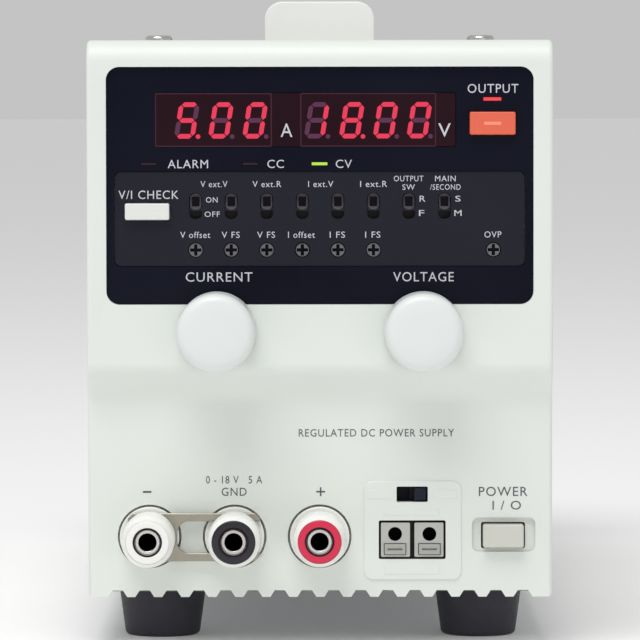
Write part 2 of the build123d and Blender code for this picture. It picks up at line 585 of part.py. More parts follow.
with BuildPart() as fan_rotor:
    rotor_y0, rotor_y1 = FAN_Y + 1.5, REAR_INNER - 4.5
    rod(HUB_R, [(FAN_X, FAN_Z)], rotor_y0, rotor_y1)
    for blade in range(BLADES):
        turn = 360 / BLADES * blade
        with Locations(Location((FAN_X, (rotor_y0 + rotor_y1) / 2, FAN_Z), (0, turn, 0))):
            with Locations(Location(((HUB_R + BLADE_TIP_R) / 2 - 0.3, 0, 0), (42, 0, 0))):
                Box(BLADE_TIP_R - HUB_R + 0.6, 15.0, 1.4)
save(fan_rotor, "fan_rotor")

# ---- Rear terminals and mains inlet ----
with BuildPart() as ac_inlet:
    plate(30.8, 23.6, [(INLET_X, INLET_Z)], REAR, REAR + 2.4, 2.0)
    plate(27.2, 19.8, [(INLET_X, INLET_Z)], REAR - 18.0, REAR, 1.0)
    plate(24.4, 16.4, [(INLET_X, INLET_Z)], REAR - 15.5, REAR + 3, 2.5, Mode.SUBTRACT)
    pins = ((-7.0, -2.0), (0.0, 2.0), (7.0, -2.0))
    pin_places = [(INLET_X + across, INLET_Z + up) for across, up in pins]
    plate(2.1, 4.1, pin_places, REAR - 19, REAR - 15, 0, Mode.SUBTRACT)
save(ac_inlet, "ac_inlet")

barrier_places = [(BARRIER_X + (n - 2) * TERMINAL_PITCH, BARRIER_Z) for n in range(5)]
control_places = [(CONTROL_BLOCK_X, CONTROL_BLOCK_Z + (n - 4.5) * CONTROL_PITCH) for n in range(10)]
with BuildPart() as rear_terminals:
    # Output barrier block: base plus six upright barriers
    block_w = 5 * TERMINAL_PITCH + 1.6
    plate(block_w, 20.0, [(BARRIER_X, BARRIER_Z)], REAR, REAR + 5.0, 0.5)
    for n in range(6):
        middle = BARRIER_X + (n - 2.5) * TERMINAL_PITCH
        plate(1.6, 20.0, [(middle, BARRIER_Z)], REAR + 5.0, REAR + REAR_OUT)
    rod(2.05, barrier_places, REAR - 1, REAR + 6.0, Mode.SUBTRACT)
    # Remote-control block: ten small wire entries in a column
    plate(11.0, 53.0, [(CONTROL_BLOCK_X, CONTROL_BLOCK_Z)], REAR, REAR + 9.0, 0.5)
    entries = [(x - 2.6, z) for x, z in control_places]
    plate(3.0, 3.2, entries, REAR + 2.0, REAR + 10.0, 0, Mode.SUBTRACT)
    heads = [(x + 2.6, z) for x, z in control_places]
    rod(1.6, heads, REAR + 5.0, REAR + 10.0, Mode.SUBTRACT)
save(rear_terminals, "rear_terminals")

with BuildPart() as rear_contacts:
    plate(2.0, 4.0, pin_places, REAR - 24.0, REAR - 3.0)
    rod(2.0, barrier_places, REAR - 8.0, REAR + 6.0)
    rod(3.6, barrier_places, REAR + 5.9, REAR + 8.0)
    rod(1.5, heads, REAR + 5.0, REAR + 8.2)
save(rear_contacts, "rear_contacts")

# ---- Feet, carrying strap and screws ----
FOOT_TOP_R, FOOT_BOTTOM_R = 10.1, 8.45
with BuildPart() as rubber_feet:
    for x, y in foot_places:
        with Locations((x, y, 0)):
            Cone(FOOT_BOTTOM_R, FOOT_TOP_R, TRAY_Z, align=(Align.CENTER, Align.CENTER, Align.MIN))
    rims = [e for e in rubber_feet.edges().filter_by(GeomType.CIRCLE) if e.center().Z < 0.1]
    fillet(rims, 1.2)
    post(4.0, foot_places, -1, 5.0, Mode.SUBTRACT)
    post(SCREW_HOLE_R, foot_places, -1, TRAY_Z + 1, Mode.SUBTRACT)
save(rubber_feet, "rubber_feet")

STRAP_W, STRAP_T, STRAP_Z = 20.0, 2.2, TOP + 4.2
SOCKET_L = 16.0
with BuildPart() as strap_ends:
    for y, mouth in ((STRAP_END_Y[0], STRAP_END_L - SOCKET_L), (STRAP_END_Y[1], 0.0)):
        with BuildSketch(facing(y + STRAP_END_L)) as end_view:
            with Locations((0, COVER_TOP + STRAP_END_H / 2)):
                Rectangle(STRAP_END_W, STRAP_END_H)
            fillet(end_view.vertices().group_by(Axis.Y)[-1], 4.0)
        extrude(amount=STRAP_END_L)
        socket_z0, socket_z1 = STRAP_Z - 0.3, STRAP_Z + STRAP_T + 0.3
        bar(-10.3, 10.3, y + mouth, y + mouth + SOCKET_L, socket_z0, socket_z1, Mode.SUBTRACT)
    post(3.4, STRAP_SCREWS, COVER_TOP + 5.0, COVER_TOP + 10.0, Mode.SUBTRACT)
    post(SCREW_HOLE_R, STRAP_SCREWS, COVER_TOP - 1, COVER_TOP + 10.0, Mode.SUBTRACT)
save(strap_ends, "strap_ends")

with BuildPart() as carrying_strap:
    strap_y0 = STRAP_END_Y[0] + STRAP_END_L - SOCKET_L + 3.0
    strap_y1 = STRAP_END_Y[1] + SOCKET_L - 3.0
    bar(-STRAP_W / 2, STRAP_W / 2, strap_y0, strap_y1, STRAP_Z, STRAP_Z + STRAP_T)
save(carrying_strap, "carrying_strap")

STRAP_SEAT = COVER_TOP + 5.0
FOOT_SEAT = 5.0
SLOT_L, SLOT_W, SLOT_DEEP = 3.6, 0.8, 0.9
with BuildPart() as truss_screws:
    for places, seat in ((COVER_SCREWS, COVER_TOP), (STRAP_SCREWS, STRAP_SEAT)):
        top = seat + HEAD_H
        post(HEAD_R, places, seat, top)
        fillet(truss_screws.faces().sort_by(Axis.Z)[-len(places) :].edges(), 0.9)
        post(SCREW_R, places, seat - SHANK_L, seat)
        for x, y in places:
            for half_x, half_y in ((SLOT_L / 2, SLOT_W / 2), (SLOT_W / 2, SLOT_L / 2)):
                bar(x - half_x, x + half_x, y - half_y, y + half_y, top - SLOT_DEEP, top + 1, Mode.SUBTRACT)
    low = FOOT_SEAT - HEAD_H
    post(HEAD_R, foot_places, low, FOOT_SEAT)
    fillet(truss_screws.faces().sort_by(Axis.Z)[: len(foot_places)].edges(), 0.9)
    post(SCREW_R, foot_places, FOOT_SEAT, FOOT_SEAT + SHANK_L)
    for x, y in foot_places:
        for half_x, half_y in ((SLOT_L / 2, SLOT_W / 2), (SLOT_W / 2, SLOT_L / 2)):
            bar(x - half_x, x + half_x, y - half_y, y + half_y, low - 1, low + SLOT_DEEP, Mode.SUBTRACT)
    out = REAR + HEAD_H
    rod(HEAD_R, REAR_SCREWS, REAR, out)
    fillet(edges_facing(truss_screws, out), 0.9)
    rod(SCREW_R, REAR_SCREWS, REAR - SHANK_L, REAR)
    plate(SLOT_L, SLOT_W, REAR_SCREWS, out - SLOT_DEEP, out + 1, 0, Mode.SUBTRACT)
    plate(SLOT_W, SLOT_L, REAR_SCREWS, out - SLOT_DEEP, out + 1, 0, Mode.SUBTRACT)
save(truss_screws, "truss_screws")
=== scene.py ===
import json
import math

import bmesh
import bpy
from mathutils import Matrix, Vector


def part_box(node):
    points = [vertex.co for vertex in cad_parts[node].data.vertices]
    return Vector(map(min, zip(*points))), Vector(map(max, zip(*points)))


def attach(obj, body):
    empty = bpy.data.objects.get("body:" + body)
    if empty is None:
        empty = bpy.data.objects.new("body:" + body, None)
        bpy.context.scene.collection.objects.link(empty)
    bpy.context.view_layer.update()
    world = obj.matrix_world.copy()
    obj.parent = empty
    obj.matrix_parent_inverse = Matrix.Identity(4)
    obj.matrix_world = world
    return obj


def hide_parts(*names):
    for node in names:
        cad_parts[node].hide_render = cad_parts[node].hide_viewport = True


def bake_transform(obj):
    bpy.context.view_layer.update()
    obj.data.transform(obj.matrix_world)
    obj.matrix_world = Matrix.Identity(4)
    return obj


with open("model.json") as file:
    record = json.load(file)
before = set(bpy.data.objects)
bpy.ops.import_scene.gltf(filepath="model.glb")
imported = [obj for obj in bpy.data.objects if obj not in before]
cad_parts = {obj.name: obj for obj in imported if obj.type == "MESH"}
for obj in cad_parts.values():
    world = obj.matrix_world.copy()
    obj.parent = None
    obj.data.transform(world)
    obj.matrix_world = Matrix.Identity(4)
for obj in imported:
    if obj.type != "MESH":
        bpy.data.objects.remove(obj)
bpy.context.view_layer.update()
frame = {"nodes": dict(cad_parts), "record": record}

NODES = frame["nodes"]
BODY_OF = {n: body for body, names in frame["record"]["behaviour"]["bodies"].items() for n in names}
MM = 0.001
INK = 0.02 * MM

# Reference planes, read from the frame
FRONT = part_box("front_bezel")[0].y
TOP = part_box("front_bezel")[1].z
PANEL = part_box("display_panel")[0].y
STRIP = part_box("control_plate")[0].y
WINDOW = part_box("display_filter")[0].y
LOWER = FRONT + 4.5 * MM


def place(across, down, y):
    """A point on the front: mm right of the middle, mm below the top edge, and a depth."""
    return Vector((across * MM, y, TOP - down * MM))


# ---- Camera: a long lens just below the height of the case top, looking slightly down ----
def set_camera():
    """Place the camera in front of the case and make it the scene's own."""
    lens = bpy.data.cameras.new("front_camera")
    lens.lens = 303.0
    lens.sensor_width = 36.0
    lens.clip_start, lens.clip_end = 0.05, 20.0
    camera = bpy.data.objects.new("front_camera", lens)
    bpy.context.scene.collection.objects.link(camera)
    pitch, roll = math.radians(2.5), math.radians(-0.08)
    turn = Matrix.Rotation(math.pi / 2 - pitch, 4, "X") @ Matrix.Rotation(roll, 4, "Z")
    camera.matrix_world = Matrix.Translation((0.0, FRONT - 1.2, TOP - 10.0 * MM)) @ turn
    bpy.context.scene.camera = camera


set_camera()


# ---- Finishes ----
def tone(red, green, blue):
    """A colour given as it looks on a screen, 0 to 255, for a shader."""
    shares = [c / 255 for c in (red, green, blue)]
    linear = [((c + 0.055) / 1.055) ** 2.4 if c > 0.04 else c / 12.92 for c in shares]
    return (*linear, 1)


class Finish:
    """A node material built up in steps: colour, roughness and surface relief."""

    def __init__(self, name, colour, roughness, metallic=0.0, specular=0.5):
        self.material = bpy.data.materials.new(name)
        self.material.use_nodes = True
        self.tree = self.material.node_tree
        self.shader = self.tree.nodes["Principled BSDF"]
        self.shader.inputs["Base Color"].default_value = colour
        self.shader.inputs["Roughness"].default_value = roughness
        self.shader.inputs["Metallic"].default_value = metallic
        self.shader.inputs["Specular IOR Level"].default_value = specular
        self.colour, self.roughness = colour, roughness
        self.place = self.tree.nodes.new("ShaderNodeTexCoord").outputs["Object"]
        self.height = None

    def link(self, start, end):
        self.tree.links.new(start, end)

    def stretched(self, x, y, z):
        """Object coordinates scaled differently along each axis."""
        mapping = self.tree.nodes.new("ShaderNodeMapping")
        mapping.inputs["Scale"].default_value = (x, y, z)
        self.link(self.place, mapping.inputs["Vector"])
        return mapping.outputs["Vector"]

    def noise(self, size, detail=3.0, vector=None, rough=0.5):
        """Noise with features about size mm across."""
        node = self.tree.nodes.new("ShaderNodeTexNoise")
        node.inputs["Scale"].default_value = 1000.0 / size
        node.inputs["Detail"].default_value = detail
        node.inputs["Roughness"].default_value = rough
        self.link(vector or self.place, node.inputs["Vector"])
        return node.outputs["Fac"]

    def spread(self, value, low, high):
        """A noise value mapped onto a range."""
        node = self.tree.nodes.new("ShaderNodeMapRange")
        node.inputs["From Min"].default_value = 0.3
        node.inputs["From Max"].default_value = 0.7
        node.inputs["To Min"].default_value = low
        node.inputs["To Max"].default_value = high
        self.link(value, node.inputs["Value"])
        return node.outputs["Result"]

    def mottled(self, value, other):
        """Colour drifts from the base towards another where the value is high."""
        mix = self.tree.nodes.new("ShaderNodeMix")
        mix.data_type = "RGBA"
        mix.inputs["A"].default_value = self.colour
        mix.inputs["B"].default_value = other
        self.link(value, mix.inputs["Factor"])
        self.link(mix.outputs["Result"], self.shader.inputs["Base Color"])
        return self

    def patchy(self, value, swing):
        """Roughness varies either side of its middle."""
        low, high = self.roughness - swing, self.roughness + swing
        self.link(self.spread(value, low, high), self.shader.inputs["Roughness"])
        return self

    def relief(self, value, depth_mm, strength=1.0):
        """Bumps that stand depth_mm proud; steps add up."""
        bump = self.tree.nodes.new("ShaderNodeBump")
        bump.inputs["Distance"].default_value = depth_mm * MM
        bump.inputs["Strength"].default_value = strength
        self.link(value, bump.inputs["Height"])
        if self.height:
            self.link(self.height, bump.inputs["Normal"])
        self.height = bump.outputs["Normal"]
        self.link(self.height, self.shader.inputs["Normal"])
        return self

    def lit(self, colour, strength):
        """Make the surface glow evenly."""
        self.shader.inputs["Emission Color"].default_value = colour
        self.shader.inputs["Emission Strength"].default_value = strength
        return self


def moulded(name, colour, roughness=0.42, grain=0.35, depth=0.012, shade=0.97, specular=0.5):
    """Injection-moulded plastic: fine spark texture, faint flow mottling, uneven polish."""
    finish = Finish(name, colour, roughness, specular=specular)
    darker = tuple(c * shade for c in colour[:3]) + (1,)
    finish.mottled(finish.spread(finish.noise(38.0), 0.0, 1.0), darker)
    finish.patchy(finish.noise(9.0, 5.0), 0.05)
    finish.relief(finish.noise(14.0, 2.0), 0.02, 0.4)
    return finish.relief(finish.noise(grain, 2.0), depth)


def polished(name, colour, roughness=0.1, specular=0.08):
    """Polished anti-glare sheet: clean, with very faint handling haze."""
    finish = Finish(name, colour, roughness, specular=specular)
    lighter = tuple(min(1.0, c * 1.25 + 0.002) for c in colour[:3]) + (1,)
    finish.mottled(finish.spread(finish.noise(30.0), 0.0, 1.0), lighter)
    finish.patchy(finish.noise(12.0, 6.0), 0.03)
    return finish.relief(finish.noise(25.0, 2.0), 0.01, 0.5)


def metal(name, colour, roughness, brushed=None, grain=0.5, depth=0.004):
    """Bare or plated metal, brushed along one axis where brushed gives the scales."""
    finish = Finish(name, colour, roughness, metallic=1.0)
    darker = tuple(c * 0.8 for c in colour[:3]) + (1,)
    vector = finish.stretched(*brushed) if brushed else finish.place
    finish.mottled(finish.spread(finish.noise(8.0, 4.0), 0.0, 1.0), darker)
    finish.patchy(finish.noise(grain, 4.0, vector), 0.07)
    return finish.relief(finish.noise(grain, 3.0, vector), depth)


white_case = moulded("moulded_warm_white", tone(227, 232, 226))
white_knob = moulded("moulded_knob_white", tone(226, 230, 228), 0.36, 0.5, 0.006)
white_post = moulded("post_white", tone(242, 242, 238), 0.3, 0.5, 0.006)
strap_end_white = moulded("strap_end_white", tone(232, 233, 230), 0.45, 0.6, 0.02)
off_white_key = moulded("off_white_button", tone(206, 206, 197), 0.34, 0.5, 0.005)
bright_key = moulded("bright_white_key", tone(226, 228, 224), 0.3, 0.5, 0.005)
orange_key = moulded("orange_red_key", tone(230, 102, 74), 0.32, 0.5, 0.005)
black_moulding = moulded("black_moulding", tone(28, 28, 31), 0.45, 0.4, 0.012, 0.8)
slider_black = moulded("slider_black", tone(14, 14, 20), 0.4, 0.4, 0.004, 0.8, 0.06)
carriage_grey = moulded("carriage_grey", tone(108, 103, 112), 0.45, 0.4, 0.004, 0.85, 0.15)
# Near-black that paints shade into the trimmer slots and the stud sockets.
painted_shade_black = moulded("painted_shade_black", tone(14, 14, 17), 0.6, 0.4, 0.006, 0.8, 0.1)
terminal_black = moulded("terminal_black", tone(26, 26, 28), 0.5, 0.4, 0.006, 0.8, 0.2)
navy_black = moulded("navy_black_slider", tone(34, 35, 52), 0.45, 0.4, 0.006, 0.8, 0.2)
terminal_grey = moulded("terminal_grey", tone(184, 185, 181), 0.42, 0.4, 0.006)
release_grey = moulded("release_grey", tone(168, 169, 163), 0.38, 0.4, 0.005)
trimmer_metal = metal("trimmer_metal", tone(122, 122, 128), 0.42, None, 0.4, 0.004)
red_ring = moulded("red_post_ring", tone(212, 36, 72), 0.3, 0.5, 0.005)
ring_shade = moulded("shaded_recess", tone(52, 36, 44), 0.6, 0.5, 0.005, 0.8, 0.1)
black_ring = moulded("black_post_ring", tone(26, 26, 34), 0.32, 0.5, 0.005, 0.8)
smoked_panel = polished("smoked_panel", tone(12, 14, 28))
red_window = polished("red_window", tone(34, 13, 22), 0.12)
matte_strip = moulded("matte_control_film", tone(34, 34, 44), 0.5, 0.25, 0.004, 0.9, 0.12)
nickel = metal("nickel_plate", tone(214, 211, 208), 0.24)
link_plate = metal("link_plate", tone(176, 172, 158), 0.38, (1.0, 8.0, 8.0))
zinc = metal("zinc_sheet", tone(186, 190, 192), 0.38, (1.0, 14.0, 14.0))
anodised = metal("black_anodised", tone(46, 46, 50), 0.45, (10.0, 1.0, 10.0))


def powder_coat():
    """Fine orange-peel powder coat on the sheet-metal cover."""
    finish = Finish("powder_coat_warm_white", tone(229, 230, 224), 0.5)
    finish.mottled(finish.spread(finish.noise(60.0), 0.0, 1.0), tone(222, 224, 218))
    finish.patchy(finish.noise(5.0, 4.0), 0.06)
    return finish.relief(finish.noise(0.9, 2.0), 0.03)


def foot_rubber():
    """Matte rubber with dusty bloom and fine pitting."""
    finish = Finish("foot_rubber", tone(56, 55, 64), 0.6, specular=0.35)
    finish.mottled(finish.spread(finish.noise(3.0, 6.0), 0.0, 0.6), tone(56, 55, 62))
    finish.patchy(finish.noise(2.0, 4.0), 0.08)
    return finish.relief(finish.noise(0.5, 3.0), 0.02)


def strap_vinyl():
    """Leather-grained vinyl of the carrying strap."""
    finish = Finish("strap_vinyl", tone(52, 54, 58), 0.55, specular=0.4)
    cells = finish.tree.nodes.new("ShaderNodeTexVoronoi")
    cells.inputs["Scale"].default_value = 900.0
    finish.link(finish.place, cells.inputs["Vector"])
    finish.mottled(finish.spread(finish.noise(6.0, 5.0), 0.0, 1.0), tone(44, 46, 50))
    finish.patchy(finish.noise(3.0, 4.0), 0.07)
    finish.relief(cells.outputs["Distance"], 0.12, 0.6)
    return finish.relief(finish.noise(0.4, 3.0), 0.02)


def board_green():
    """Solder-masked laminate with tracks showing through as raised lines."""
    finish = Finish("board_green", tone(24, 92, 58), 0.3)
    tracks = finish.tree.nodes.new("ShaderNodeTexWave")
    tracks.wave_type = "BANDS"
    tracks.inputs["Scale"].default_value = 120.0
    tracks.inputs["Distortion"].default_value = 6.0
    finish.link(finish.place, tracks.inputs["Vector"])
    finish.mottled(tracks.outputs["Fac"], tone(34, 116, 74))
    finish.patchy(finish.noise(4.0, 4.0), 0.06)
    return finish.relief(tracks.outputs["Fac"], 0.03, 0.4)


def laminations():
    """Edges of stacked iron sheets under varnish."""
    finish = Finish("varnished_laminations", tone(70, 60, 52), 0.45, metallic=0.6)
    sheets = finish.tree.nodes.new("ShaderNodeTexWave")
    sheets.wave_type = "BANDS"
    sheets.bands_direction = "Y"
    sheets.inputs["Scale"].default_value = 320.0
    finish.link(finish.place, sheets.inputs["Vector"])
    finish.mottled(finish.spread(finish.noise(5.0, 5.0), 0.0, 1.0), tone(52, 44, 40))
    finish.patchy(finish.noise(3.0, 4.0), 0.08)
    return finish.relief(sheets.outputs["Fac"], 0.1, 0.5)


def coil_tape():
    """Yellow polyester tape wound over the coil, with overlapping edges."""
    finish = Finish("coil_tape", tone(214, 176, 70), 0.3)
    turns = finish.tree.nodes.new("ShaderNodeTexWave")
    turns.wave_type = "BANDS"
    turns.bands_direction = "Z"
    turns.inputs["Scale"].default_value = 45.0
    finish.link(finish.place, turns.inputs["Vector"])
    finish.mottled(finish.spread(finish.noise(12.0, 4.0), 0.0, 1.0), tone(196, 154, 52))
    finish.patchy(finish.noise(6.0, 4.0), 0.06)
    return finish.relief(turns.outputs["Fac"], 0.1, 0.4)


def ink(name, colour):
    """Screen-printed lettering: slightly uneven ink."""
    finish = Finish(name, colour, 0.55)
    darker = tuple(c * 0.85 for c in colour[:3]) + (1,)
    finish.mottled(finish.spread(finish.noise(1.2, 3.0), 0.0, 1.0), darker)
    finish.patchy(finish.noise(2.0), 0.05)
    return finish


def lamp_and_painted_glow(name, colour, strength):
    """Diffusing resin that glows evenly over a darker body of the same hue; on unlit parts this glow is
    painted light.
    """
    body = tuple(c * 0.12 for c in colour[:3]) + (1,)
    finish = Finish(name, body, 0.4, specular=0.2)
    finish.patchy(finish.noise(0.8), 0.05)
    return finish.lit(colour, strength)


powder = powder_coat()
rubber = foot_rubber()
vinyl = strap_vinyl()
white_ink = ink("white_ink", tone(206, 208, 216))
grey_ink = ink("grey_ink", tone(84, 90, 98))
digit_glow = lamp_and_painted_glow("lit_digit", tone(232, 58, 88), 0.9)
# Unlit segments glow faintly: painted light, as they are switched off.
painted_glow_digits = lamp_and_painted_glow("unlit_digit_painted_glow", tone(98, 50, 82), 0.75)
# Module frames glow faintly: painted light, not a lamp.
painted_glow_outline = lamp_and_painted_glow("module_outline", tone(70, 32, 48), 0.75)
green_glow = lamp_and_painted_glow("lit_green_lamp", tone(186, 222, 84), 1.0)
red_glow = lamp_and_painted_glow("lit_red_lamp", tone(238, 72, 76), 1.0)
key_glow = lamp_and_painted_glow("key_light_bar", tone(250, 150, 120), 0.9)
# Unlit indicator lamps glow faintly: painted light.
unlit_lamp_painted_glow = lamp_and_painted_glow("unlit_lamp_painted_glow", tone(52, 28, 40), 0.7)


# ---- Mesh helpers ----
def piece(name, bm, finish, body, smooth=True):
    """Turn a bmesh into a finished object that rides on a body."""
    mesh = bpy.data.meshes.new(name)
    bm.to_mesh(mesh)
    bm.free()
    made = bpy.data.objects.new(name, mesh)
    bpy.context.scene.collection.objects.link(made)
    mesh.materials.append(finish.material)
    if smooth:
        mesh.shade_smooth()
        mesh.set_sharp_from_angle(angle=math.radians(35))
    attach(made, body)
    return made


def rounded(made, width_mm, segments=3):
    """Round the sharp edges of a piece."""
    bevel = made.modifiers.new("edge_rounding", "BEVEL")
    bevel.width = width_mm * MM
    bevel.segments = segments
    bevel.limit_method = "ANGLE"
    bevel.angle_limit = math.radians(35)
    bevel.harden_normals = False
    return made


def refined(node, finish, edge=0.0):
    """The CAD shape as one merged, smooth-shaded mesh with its edges eased."""
    bm = bmesh.new()
    bm.from_mesh(NODES[node].data)
    bmesh.ops.remove_doubles(bm, verts=bm.verts, dist=1e-6)
    flat = math.radians(0.8)
    bmesh.ops.dissolve_limit(bm, angle_limit=flat, verts=bm.verts, edges=bm.edges)
    made = piece(f"{node}_finished", bm, finish, BODY_OF[node])
    if edge:
        rounded(made, edge, 2)
    weighted = made.modifiers.new("weighted_normals", "WEIGHTED_NORMAL")
    weighted.keep_sharp = True
    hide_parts(node)
    return made


def block(bm, across, down, width, height, y0, y1):
    """A block added to a bmesh: its middle on the front, its size in mm, and two depths."""
    middle = place(across, down, (y0 + y1) / 2)
    size = Matrix.Diagonal((width * MM, abs(y1 - y0), height * MM, 1))
    return bmesh.ops.create_cube(bm, size=1.0, matrix=Matrix.Translation(middle) @ size)["verts"]


def turned(bm, centre, profile, steps=64):
    """A turned shape about a front-to-back axis, from (radius, y) points in metres."""
    verts = [bm.verts.new((centre[0] + r, y, centre[1])) for r, y in profile]
    edges = [bm.edges.new(pair) for pair in zip(verts, verts[1:])]
    bmesh.ops.spin(
        bm,
        geom=verts + edges,
        cent=(centre[0], 0, centre[1]),
        axis=(0, 1, 0),
        angle=math.tau,
        steps=steps,
        use_merge=True,
    )
    bmesh.ops.remove_doubles(bm, verts=bm.verts, dist=1e-7)
    bmesh.ops.recalc_face_normals(bm, faces=bm.faces)


def arc(centre_r, centre_y, radius, start, end, steps=6):
    """Points of a rounding in a turned profile; angles in degrees from +radius towards -y."""
    angles = [math.radians(start + (end - start) * n / steps) for n in range(steps + 1)]
    return [(centre_r + radius * math.cos(a), centre_y - radius * math.sin(a)) for a in angles]


def lettering(bm, words, across, down, height, width, y):
    """Add words to a bmesh, fitted to a height and width in mm on the front plane y."""
    curve = bpy.data.curves.new("letters", "FONT")
    curve.body = words
    curve.space_character = 1.12
    curve.extrude = 0.02
    curve.resolution_u = 3
    holder = bpy.data.objects.new("letters", curve)
    bpy.context.scene.collection.objects.link(holder)
    bpy.context.view_layer.update()
    mesh = bpy.data.meshes.new_from_object(holder.evaluated_get(bpy.context.evaluated_depsgraph_get()))
    bpy.data.objects.remove(holder)
    xs = [v.co.x for v in mesh.vertices]
    ys = [v.co.y for v in mesh.vertices]
    wide, high = max(xs) - min(xs), max(ys) - min(ys)
    middle = Vector(((max(xs) + min(xs)) / 2, (max(ys) + min(ys)) / 2, 0))
    fit = Matrix.Diagonal((width * MM / wide, height * MM / high, 0.0012, 1))
    upright = Matrix.Rotation(math.pi / 2, 4, "X")
    mesh.transform(Matrix.Translation(place(across, down, y)) @ upright @ fit @ Matrix.Translation(-middle))
    bm.from_mesh(mesh)
    bpy.data.meshes.remove(mesh)


def printed(name, labels, y, finish, body="case"):
    """One piece of printing from (words, across, down, height, width) labels."""
    bm = bmesh.new()
    for words, across, down, height, width in labels:
        lettering(bm, words, across, down, height, width, y)
    return piece(name, bm, finish, body, smooth=False)


# ---- Front moulding and panel ----
refined("front_bezel", white_case)
refined("display_panel", smoked_panel, 0.15)
refined("control_plate", matte_strip, 0.1)
refined("display_filter", red_window, 0.1)

printed(
    "panel_titles",
    [
        ("OUTPUT", 38.6, 10.85, 2.0, 11.3),
        ("CURRENT", -22.5, 52.8, 2.1, 14.9),
        ("VOLTAGE", 23.1, 52.8, 2.1, 13.5),
        ("ALARM", -29.4, 27.6, 1.85, 9.0),
        ("CC", -9.85, 27.6, 1.85, 3.7),
        ("CV", 5.35, 27.6, 1.85, 3.6),
        ("A", -7.4, 20.1, 3.0, 2.6),
        ("V", 27.8, 20.1, 3.0, 2.8),
    ],
    PANEL - INK,
    white_ink,
)
printed(
    "strip_labels",
    [
        ("V/I CHECK", -38.2, 34.45, 1.9, 13.4),
        ("V ext.V", -23.6, 32.1, 1.35, 6.0),
        ("V ext.R", -11.8, 32.1, 1.35, 6.4),
        ("I ext.V", 0.2, 32.1, 1.35, 5.6),
        ("I ext.R", 12.0, 32.1, 1.35, 6.0),
        ("OUTPUT", 19.8, 30.9, 1.25, 6.6),
        ("SW", 19.8, 32.8, 1.25, 2.8),
        ("MAIN", 28.0, 30.9, 1.25, 4.6),
        ("/SECOND", 28.0, 32.8, 1.25, 6.8),
        ("ON", -24.1, 35.6, 1.2, 2.6),
        ("OFF", -24.0, 38.8, 1.2, 3.4),
        ("R", 22.9, 35.4, 1.3, 1.3),
        ("F", 22.7, 38.6, 1.3, 1.2),
        ("S", 30.8, 35.4, 1.3, 1.2),
        ("M", 30.8, 38.6, 1.3, 1.6),
        ("V offset", -27.8, 43.4, 1.4, 6.7),
        ("V FS", -19.9, 43.4, 1.4, 4.0),
        ("V FS", -12.0, 43.4, 1.4, 4.0),
        ("I offset", -4.1, 43.4, 1.4, 6.0),
        ("I FS", 3.9, 43.4, 1.4, 3.4),
        ("I FS", 11.8, 43.4, 1.4, 3.4),
        ("OVP", 38.6, 43.4, 1.4, 3.8),
    ],
    STRIP - INK,
    white_ink,
)


# ---- Digits ----
SEGMENTS = {
    "0": "abcdef",
    "1": "bc",
    "5": "acdfg",
    "8": "abcdefg",
}
DIGIT_H, DIGIT_W, STROKE = 8.1, 4.6, 1.05
SLANT = math.tan(math.radians(9))
DIGIT_DOWN = 17.9
SEGMENT_DEPTH = 0.03 * MM
CURRENT_X = (-29.6, -22.0, -14.4)
VOLTAGE_X = (-0.65, 7.15, 14.7, 22.2)
READINGS = list(zip("500", CURRENT_X)) + list(zip("1800", VOLTAGE_X))
POINT_AFTER = (CURRENT_X[0], VOLTAGE_X[1])


def segment(bm, letter, across, y):
    """One six-sided segment of a leaning seven-segment digit."""
    half_w, half_h = (DIGIT_W - STROKE) / 2, (DIGIT_H - STROKE) / 2
    level = letter in "adg"
    middle = {
        "a": (0, half_h),
        "b": (half_w, half_h / 2),
        "c": (half_w, -half_h / 2),
        "d": (0, -half_h),
        "e": (-half_w, -half_h / 2),
        "f": (-half_w, half_h / 2),
        "g": (0, 0),
    }[letter]
    reach = (half_w if level else half_h / 2) - 0.12
    tip = STROKE / 2
    shape = [(-reach, 0), (tip - reach, -tip), (reach - tip, -tip)]
    shape += [(reach, 0), (reach - tip, tip), (tip - reach, tip)]
    corners = []
    for along, over in shape:
        u, v = (along, over) if level else (-over, along)
        u, v = middle[0] + u, middle[1] + v
        corners.append(bm.verts.new(place(across + u + v * SLANT, DIGIT_DOWN - v, y)))
    face = bm.faces.new(corners)
    raised = bmesh.ops.extrude_face_region(bm, geom=[face])["geom"]
    front = [v for v in raised if isinstance(v, bmesh.types.BMVert)]
    bmesh.ops.translate(bm, vec=(0, -SEGMENT_DEPTH, 0), verts=front)


def point(bm, across, y):
    """The decimal point at the foot of a digit."""
    foot = DIGIT_H / 2 - 0.45
    middle = place(across + DIGIT_W / 2 + 0.75 - foot * SLANT, DIGIT_DOWN + foot, y)
    upright = Matrix.Translation(middle) @ Matrix.Rotation(math.pi / 2, 4, "X")
    bmesh.ops.create_cone(
        bm,
        cap_ends=True,
        segments=20,
        radius1=0.52 * MM,
        radius2=0.52 * MM,
        depth=SEGMENT_DEPTH,
        matrix=upright,
    )


def digits():
    """Lit and unlit segments, as two pieces on the face of the red window; the unlit ones carry a painted
    glow.
    """
    lit, unlit = bmesh.new(), bmesh.new()
    for shown, across in READINGS:
        for letter in "abcdefg":
            segment(lit if letter in SEGMENTS[shown] else unlit, letter, across, WINDOW)
        point(lit if across in POINT_AFTER else unlit, across, WINDOW)
    for bm in (lit, unlit):
        bmesh.ops.recalc_face_normals(bm, faces=bm.faces)
    piece("lit_segments", lit, digit_glow, "case", smooth=False)
    piece("unlit_segments", unlit, painted_glow_digits, "case", smooth=False)


digits()


